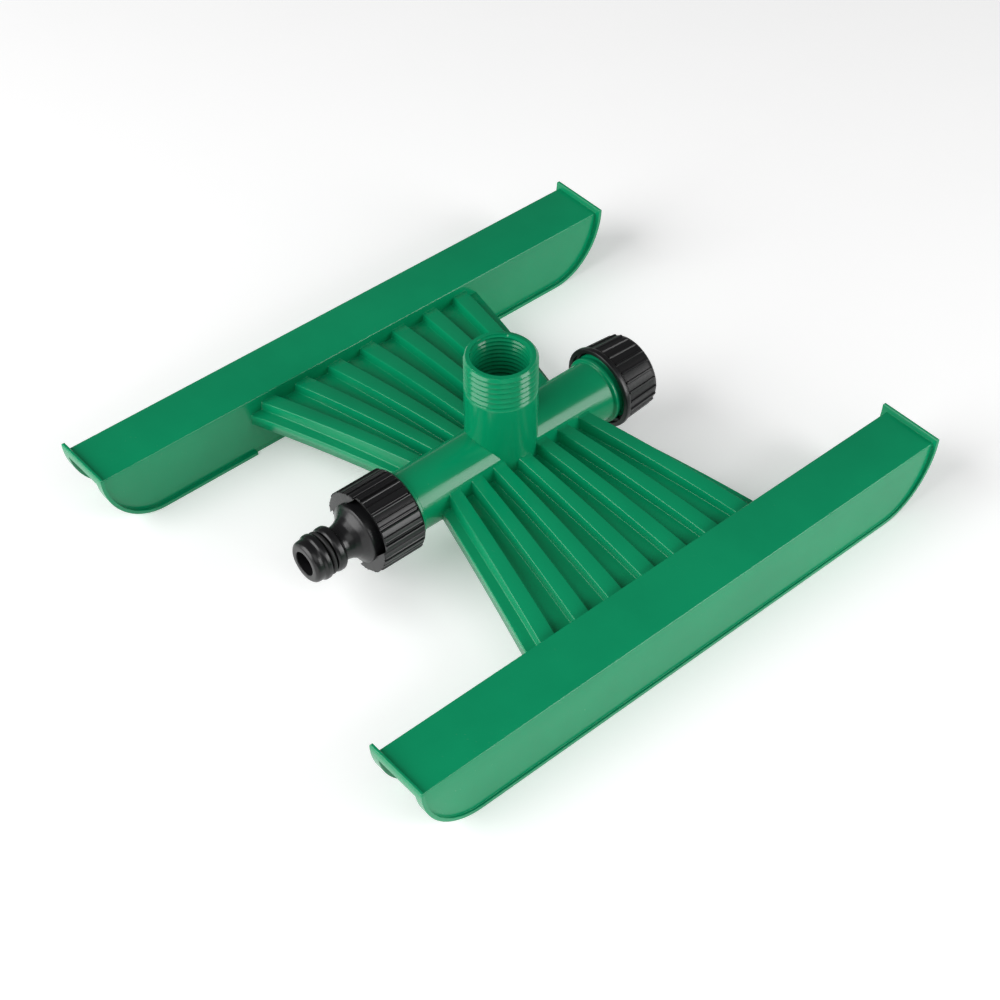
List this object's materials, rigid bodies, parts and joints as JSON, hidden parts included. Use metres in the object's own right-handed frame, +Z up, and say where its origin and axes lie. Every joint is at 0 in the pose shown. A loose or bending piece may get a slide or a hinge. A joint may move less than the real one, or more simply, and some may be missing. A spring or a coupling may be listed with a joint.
{
  "type": "lawn sprinkler sled base",
  "caption": "Low sled base for a rotary lawn sprinkler: open-bottomed runners joined by ribbed fans to a water tube with threaded riser, quick-connect inlet and blind end cap.",
  "frame": {"origin": "on the ground under the middle of the riser, the bottom centre of the bounding box", "axes": "+X from the left runner to the right runner, +Y along the water tube from the inlet connector to the end cap, +Z up the riser"},
  "size_m": [0.2048, 0.241, 0.0696],
  "materials": {
    "green_plastic": "glossy injection-moulded green plastic",
    "black_plastic": "satin injection-moulded black plastic",
    "seal_rubber": "matt black rubber"
  },
  "bodies": {
    "base": {"left_runner": "green_plastic", "right_runner": "green_plastic", "left_fan_web": "green_plastic", "right_fan_web": "green_plastic", "manifold": "green_plastic"},
    "inlet_washer_body": {"inlet_washer": "seal_rubber"},
    "connector_body": {"inlet_connector": "black_plastic", "connector_o_ring": "seal_rubber"},
    "cap_washer_body": {"end_cap_washer": "seal_rubber"},
    "cap_body": {"end_cap": "black_plastic"}
  },
  "joints": [
    {"name": "connector_travel", "type": "slide", "parent": "base", "child": "inlet_washer_body", "axis": [0, -1, 0], "range_m": [0, 0.00977]},
    {"name": "connector_turn", "type": "hinge", "parent": "inlet_washer_body", "child": "connector_body", "pos_m": [0, -0.0473, 0.0258], "axis": [0, -1, 0], "range_deg": [0, 1530]},
    {"name": "cap_travel", "type": "slide", "parent": "base", "child": "cap_washer_body", "axis": [0, 1, 0], "range_m": [0, 0.00977]},
    {"name": "cap_turn", "type": "hinge", "parent": "cap_washer_body", "child": "cap_body", "pos_m": [0, 0.0473, 0.0258], "axis": [0, 1, 0], "range_deg": [0, 1530]}
  ],
  "couplings": [
    {"joint": "connector_turn", "follows": "connector_travel", "rad_per_m": 2731.8},
    {"joint": "cap_turn", "follows": "cap_travel", "rad_per_m": 2731.8}
  ]
}
